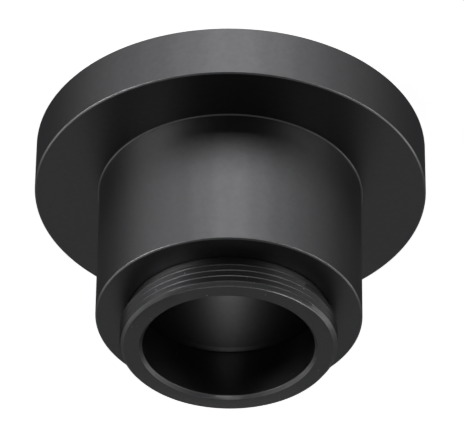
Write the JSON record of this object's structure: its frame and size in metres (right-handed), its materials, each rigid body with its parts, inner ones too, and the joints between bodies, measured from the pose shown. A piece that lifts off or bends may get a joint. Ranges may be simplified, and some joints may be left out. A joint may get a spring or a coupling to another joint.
{
  "type": "laser collimator",
  "caption": "Laser collimator with a flanged black housing, threaded nose with open beam bore, tilting laser cell, rear adjusting screws, coin battery and slide switch.",
  "frame": {"origin": "centre of the flange's flat rear face, which the part rests on", "axes": "+Z along the beam, towards the threaded nose; +Y towards the power switch on the rear face"},
  "size_m": [0.0466, 0.0466, 0.029],
  "materials": {
    "black_anodised_aluminium": "satin black anodised, turned",
    "steel": "bright",
    "brass": "machined",
    "spring_bronze": "drawn",
    "black_plastic": "moulded",
    "white_plastic": "moulded",
    "circuit_board": "solder mask",
    "rubber": "moulded",
    "lens_glass": "polished",
    "red_insulation": "extruded",
    "black_insulation": "extruded"
  },
  "bodies": {
    "housing": {"flange_body": "black_anodised_aluminium", "barrel_tube": "black_anodised_aluminium", "nose_ring": "black_anodised_aluminium", "rear_cover": "black_anodised_aluminium", "cover_screw_1": "steel", "cover_screw_2": "steel", "cover_screw_3": "steel", "cover_screw_4": "steel", "coin_cell": "steel", "battery_holder": "white_plastic", "negative_contact": "spring_bronze", "circuit_board": "circuit_board", "switch_body": "steel", "reference_screw": "steel", "return_o_ring": "rubber", "positive_lead": "red_insulation", "negative_lead": "black_insulation"},
    "centring_ring": {"centring_o_ring": "rubber"},
    "laser_cell": {"laser_cell": "black_anodised_aluminium", "module_barrel": "brass", "laser_diode": "steel", "focus_spring": "steel", "lens_holder": "brass", "collimating_lens": "lens_glass", "module_board": "circuit_board", "driver_chip": "black_plastic", "aperture_stop": "black_anodised_aluminium", "module_clamp_screw": "steel"},
    "screw_pad_1": {"screw_pad_1": "brass"},
    "adjusting_screw_1": {"adjusting_screw_1": "steel"},
    "screw_pad_2": {"screw_pad_2": "brass"},
    "adjusting_screw_2": {"adjusting_screw_2": "steel"},
    "cap_seal": {"battery_cap_o_ring": "rubber"},
    "battery_cap": {"battery_cap": "black_anodised_aluminium", "battery_spring": "spring_bronze"},
    "switch_knob": {"switch_knob": "black_plastic"}
  },
  "joints": [
    {"name": "cell_tilt_a", "type": "hinge", "parent": "housing", "child": "centring_ring", "pos_m": [0.0052, 0.003, 0.00825], "axis": [-0.5, 0.866, 0], "range_deg": [-1, 1], "deforming": ["return_o_ring"]},
    {"name": "cell_tilt_b", "type": "hinge", "parent": "centring_ring", "child": "laser_cell", "pos_m": [-0.0052, 0.003, 0.00825], "axis": [-0.5, -0.866, 0], "range_deg": [-1, 1]},
    {"name": "adjusting_screw_1_advance", "type": "slide", "parent": "housing", "child": "screw_pad_1", "axis": [0, 0, 1], "range_m": [-0.000315, 0.000315]},
    {"name": "adjusting_screw_1_turn", "type": "hinge", "parent": "screw_pad_1", "child": "adjusting_screw_1", "pos_m": [-0.01039, -0.006, 0.0008], "axis": [0, 0, 1], "range_deg": [-251.4, 251.4]},
    {"name": "adjusting_screw_2_advance", "type": "slide", "parent": "housing", "child": "screw_pad_2", "axis": [0, 0, 1], "range_m": [-0.000315, 0.000315]},
    {"name": "adjusting_screw_2_turn", "type": "hinge", "parent": "screw_pad_2", "child": "adjusting_screw_2", "pos_m": [0.01039, -0.006, 0.0008], "axis": [0, 0, 1], "range_deg": [-251.4, 251.4]},
    {"name": "battery_cap_lift", "type": "slide", "parent": "housing", "child": "cap_seal", "axis": [0, 0, -1], "range_m": [0, 0.0015]},
    {"name": "battery_cap_turn", "type": "hinge", "parent": "cap_seal", "child": "battery_cap", "pos_m": [0, 0, 0.001], "axis": [0, 0, -1], "range_deg": [0, 720]},
    {"name": "switch_slide", "type": "slide", "parent": "housing", "child": "switch_knob", "axis": [1, 0, 0], "range_m": [0, 0.002]}
  ],
  "couplings": [
    {"joint": "adjusting_screw_1_advance", "follows": "cell_tilt_a", "m_per_rad": 0.018},
    {"joint": "adjusting_screw_1_turn", "follows": "cell_tilt_a", "ratio": 251.33},
    {"joint": "adjusting_screw_2_advance", "follows": "cell_tilt_b", "m_per_rad": 0.018},
    {"joint": "adjusting_screw_2_turn", "follows": "cell_tilt_b", "ratio": 251.33},
    {"joint": "battery_cap_lift", "follows": "battery_cap_turn", "m_per_rad": 0.00011937}
  ]
}
